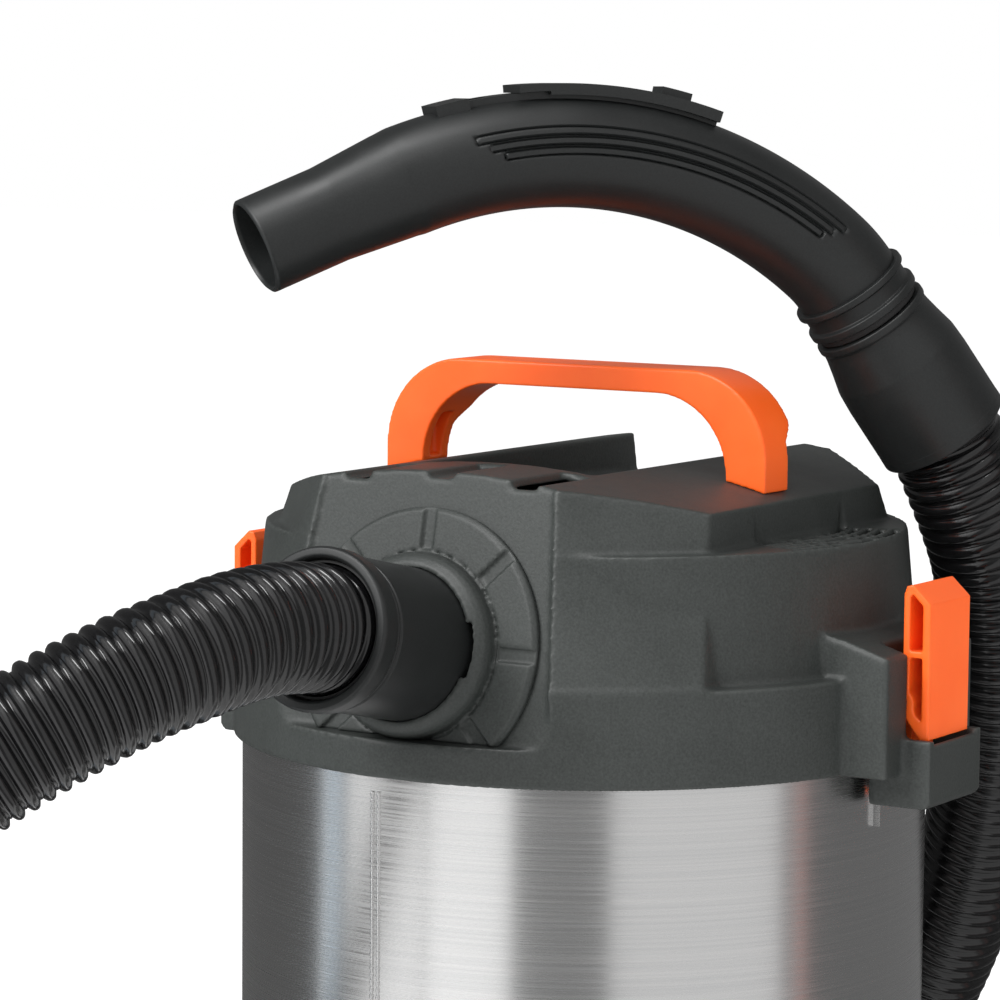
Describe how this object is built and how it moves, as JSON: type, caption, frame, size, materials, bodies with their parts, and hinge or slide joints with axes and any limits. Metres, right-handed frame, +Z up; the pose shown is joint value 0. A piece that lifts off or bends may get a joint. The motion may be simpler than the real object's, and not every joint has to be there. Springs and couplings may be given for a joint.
{
  "type": "shop vacuum",
  "caption": "Wet and dry shop vacuum: steel drum on casters, clamped motor head with carry handle, corrugated hose and curved wand.",
  "frame": {"origin": "on the floor under the tank's axis", "axes": "+Z up along the tank's axis, -Y out of the front (blower) hose port, latches at +X and -X"},
  "size_m": [0.4649, 0.5838, 0.5257],
  "materials": {
    "steel": "brushed",
    "hardware": "bright",
    "housing": "fine grain",
    "base": "fine grain",
    "grip_orange": "satin",
    "hose_black": "gloss",
    "black_plastic": "satin",
    "tyre": "matte",
    "seal": "matte",
    "motor_steel": "satin",
    "fan_alloy": "satin",
    "brass": "satin",
    "capacitor": "satin",
    "foam": "open foam",
    "float": "satin",
    "rocker": "gloss"
  },
  "bodies": {
    "tank": {"tank_shell": "steel", "tank_floor": "steel", "latch_catches": "steel", "base_ring": "base", "base_screws": "hardware"},
    "caster_fl": {"caster_fork_fl": "base", "caster_axle_fl": "hardware"},
    "wheel_fl": {"caster_wheel_fl": "tyre"},
    "caster_fr": {"caster_fork_fr": "base", "caster_axle_fr": "hardware"},
    "wheel_fr": {"caster_wheel_fr": "tyre"},
    "caster_rl": {"caster_fork_rl": "base", "caster_axle_rl": "hardware"},
    "wheel_rl": {"caster_wheel_rl": "tyre"},
    "caster_rr": {"caster_fork_rr": "base", "caster_axle_rr": "hardware"},
    "wheel_rr": {"caster_wheel_rr": "tyre"},
    "head": {"upper_housing": "housing", "motor_base": "black_plastic", "housing_screws": "hardware", "tank_seal": "seal", "carry_handle": "grip_orange", "handle_screws": "hardware", "blower_port": "housing", "suction_port": "housing", "blow_duct": "black_plastic", "suction_duct": "black_plastic", "cord_gland": "seal", "switch_frame": "black_plastic", "latch_pin_left": "hardware", "latch_pin_right": "hardware", "fan_casing": "fan_alloy", "motor_stator": "motor_steel", "motor_cover": "black_plastic", "motor_mount_lower": "seal", "motor_mount_upper": "seal", "brush_holders": "brass", "noise_capacitor": "capacitor", "float_cage": "black_plastic", "filter_sleeve": "foam", "filter_band": "seal", "hose": "hose_black", "wand_cuff": "black_plastic", "swivel_ring": "black_plastic"},
    "latch_left": {"latch_lever_left": "grip_orange", "latch_spring_left": "hardware"},
    "latch_right": {"latch_lever_right": "grip_orange", "latch_spring_right": "hardware"},
    "rotor": {"impeller": "fan_alloy", "motor_shaft": "hardware", "cooling_fan": "black_plastic"},
    "float": {"float_ball": "float"},
    "rocker": {"switch_rocker": "rocker"},
    "port_cuff": {"cuff_sleeve": "black_plastic", "cuff_insert": "black_plastic"},
    "wand": {"wand_grip": "black_plastic", "slider_rail": "black_plastic"},
    "air_cover": {"air_slider": "black_plastic"}
  },
  "joints": [
    {"name": "head_lift", "type": "slide", "parent": "tank", "child": "head", "axis": [0, 0, 1], "range_m": [0, 0.2]},
    {"name": "caster_swivel_fl", "type": "hinge", "parent": "tank", "child": "caster_fl", "pos_m": [-0.07637, -0.07637, 0.034], "axis": [0, 0, 1], "continuous": true},
    {"name": "wheel_spin_fl", "type": "hinge", "parent": "caster_fl", "child": "wheel_fl", "pos_m": [-0.08627, -0.08627, 0.016], "axis": [0.7071, -0.7071, 0], "continuous": true},
    {"name": "caster_swivel_fr", "type": "hinge", "parent": "tank", "child": "caster_fr", "pos_m": [0.07637, -0.07637, 0.034], "axis": [0, 0, 1], "continuous": true},
    {"name": "wheel_spin_fr", "type": "hinge", "parent": "caster_fr", "child": "wheel_fr", "pos_m": [0.08627, -0.08627, 0.016], "axis": [0.7071, 0.7071, 0], "continuous": true},
    {"name": "caster_swivel_rl", "type": "hinge", "parent": "tank", "child": "caster_rl", "pos_m": [-0.07637, 0.07637, 0.034], "axis": [0, 0, 1], "continuous": true},
    {"name": "wheel_spin_rl", "type": "hinge", "parent": "caster_rl", "child": "wheel_rl", "pos_m": [-0.08627, 0.08627, 0.016], "axis": [-0.7071, -0.7071, 0], "continuous": true},
    {"name": "caster_swivel_rr", "type": "hinge", "parent": "tank", "child": "caster_rr", "pos_m": [0.07637, 0.07637, 0.034], "axis": [0, 0, 1], "continuous": true},
    {"name": "wheel_spin_rr", "type": "hinge", "parent": "caster_rr", "child": "wheel_rr", "pos_m": [0.08627, 0.08627, 0.016], "axis": [-0.7071, 0.7071, 0], "continuous": true},
    {"name": "latch_left_press", "type": "hinge", "parent": "head", "child": "latch_left", "pos_m": [-0.1395, 0, 0.308], "axis": [0, 1, 0], "range_deg": [0, 8], "stiffness_Nm_per_rad": 0.4, "springref_deg": -5.73},
    {"name": "latch_right_press", "type": "hinge", "parent": "head", "child": "latch_right", "pos_m": [0.1395, 0, 0.308], "axis": [0, -1, 0], "range_deg": [0, 8], "stiffness_Nm_per_rad": 0.4, "springref_deg": -5.73},
    {"name": "fan_spin", "type": "hinge", "parent": "head", "child": "rotor", "pos_m": [0, 0, 0.33], "axis": [0, 0, 1], "continuous": true},
    {"name": "float_rise", "type": "slide", "parent": "head", "child": "float", "axis": [0, 0, 1], "range_m": [0, 0.06]},
    {"name": "switch_tilt", "type": "hinge", "parent": "head", "child": "rocker", "pos_m": [0, 0.062, 0.3715], "axis": [-1, 0, 0], "range_deg": [0, 16]},
    {"name": "port_cuff_twist", "type": "hinge", "parent": "head", "child": "port_cuff", "pos_m": [0, -0.114, 0.328], "axis": [0, -0.9781, 0.2079], "range_deg": [0, 25]},
    {"name": "wand_swivel", "type": "hinge", "parent": "head", "child": "wand", "pos_m": [0.08354, 0.04732, 0.45259], "axis": [0.3619, 0.4632, -0.809], "continuous": true},
    {"name": "air_slide", "type": "hinge", "parent": "wand", "child": "air_cover", "pos_m": [0.01261, -0.04346, 0.336], "axis": [0.788, -0.6157, 0], "range_deg": [0, 5.4]}
  ]
}
